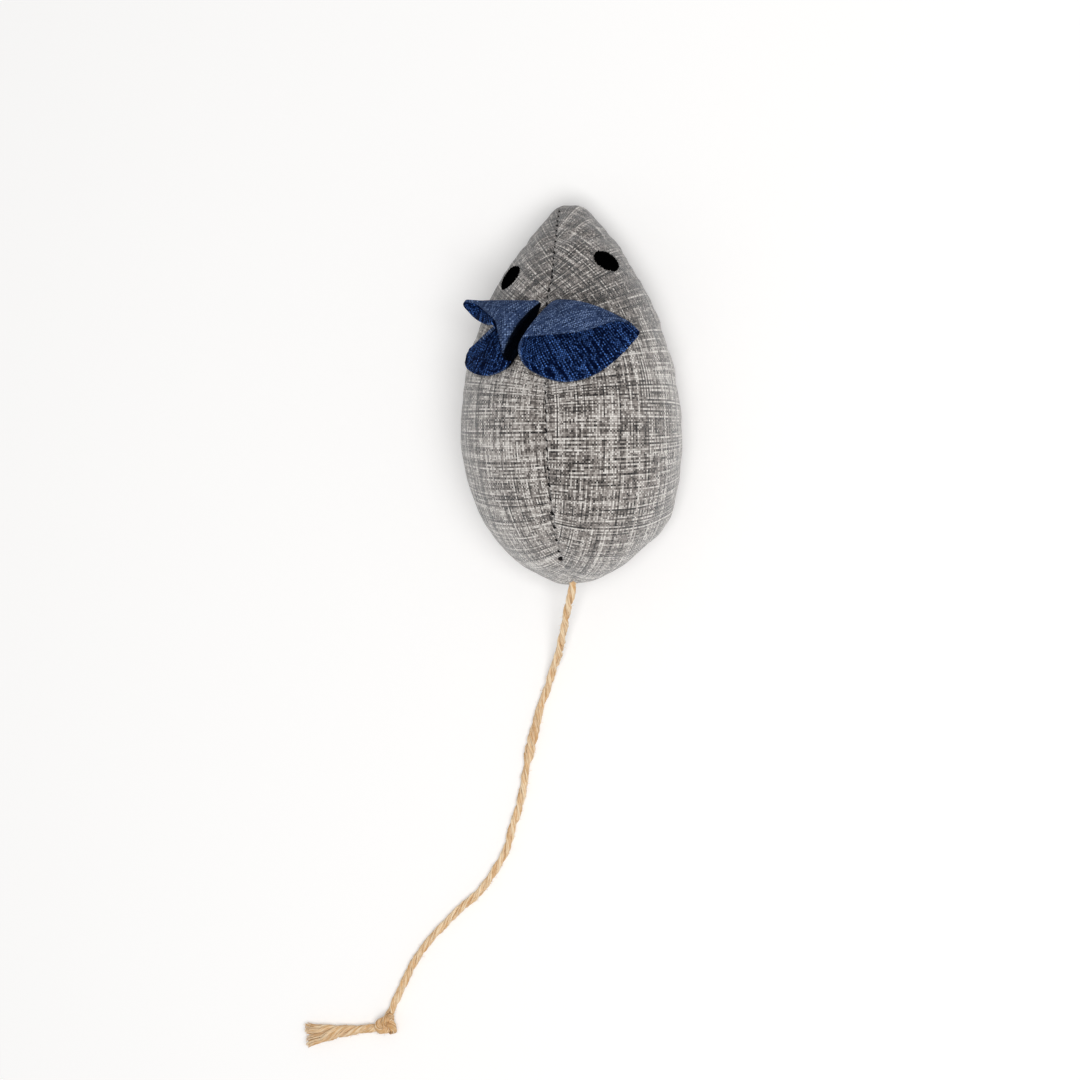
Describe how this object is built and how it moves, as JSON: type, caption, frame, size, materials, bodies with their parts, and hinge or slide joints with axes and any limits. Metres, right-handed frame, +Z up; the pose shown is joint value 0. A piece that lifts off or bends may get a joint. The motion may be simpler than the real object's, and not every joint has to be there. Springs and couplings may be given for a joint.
{
  "type": "catnip mouse toy",
  "caption": "Stuffed cloth mouse for a cat: pear-shaped body of sewn panels round fibre and catnip, cupped cloth ears that lift, embroidered eyes and a limp knotted twine tail.",
  "frame": {"origin": "on the floor under the middle of the body, measured without the tail", "axes": "+Y towards the nose, +X towards the mouse's right, +Z up"},
  "size_m": [0.0962, 0.191, 0.0427],
  "materials": {
    "grey_cloth": "woven grey melange cloth, matt",
    "polyester_fibre": "loose white fibre",
    "dried_catnip": "gauze pouch of dried leaf, matt",
    "seam_thread": "dark sewing thread",
    "black_floss": "black satin stitch, slight sheen",
    "blue_cloth": "plain woven blue cloth, matt",
    "jute_twine": "two-ply jute twine, matt and hairy"
  },
  "bodies": {
    "mouse_body": {"left_side_panel": "grey_cloth", "right_side_panel": "grey_cloth", "belly_panel": "grey_cloth", "fibre_filling": "polyester_fibre", "catnip_pouch": "dried_catnip", "back_seam_thread": "seam_thread", "closing_thread": "seam_thread", "belly_seam_thread": "seam_thread", "left_eye": "black_floss", "right_eye": "black_floss", "tail_root": "jute_twine"},
    "left_ear": {"left_ear": "blue_cloth"},
    "right_ear": {"right_ear": "blue_cloth"},
    "tail_near": {"tail_cord_near": "jute_twine"},
    "tail_far": {"tail_cord_far": "jute_twine", "tail_knot": "jute_twine", "tail_tuft": "jute_twine"}
  },
  "joints": [
    {"name": "left_ear_lift", "type": "hinge", "parent": "mouse_body", "child": "left_ear", "pos_m": [-0.00155, 0.02, 0.0322], "axis": [-0.9783, 0.0265, -0.2057], "range_deg": [0, 60]},
    {"name": "right_ear_lift", "type": "hinge", "parent": "mouse_body", "child": "right_ear", "pos_m": [0.00155, 0.02, 0.0322], "axis": [-0.8863, 0.3922, 0.2463], "range_deg": [0, 60]},
    {"name": "tail_swing", "type": "hinge", "parent": "mouse_body", "child": "tail_near", "pos_m": [0, -0.0439, 0.015], "axis": [0, 0, 1], "range_deg": [-45, 45]},
    {"name": "tail_lift", "type": "hinge", "parent": "tail_near", "child": "tail_far", "pos_m": [-0.0173, -0.0901, 0.00105], "axis": [-0.9701, 0.2425, 0], "range_deg": [0, 70]}
  ]
}
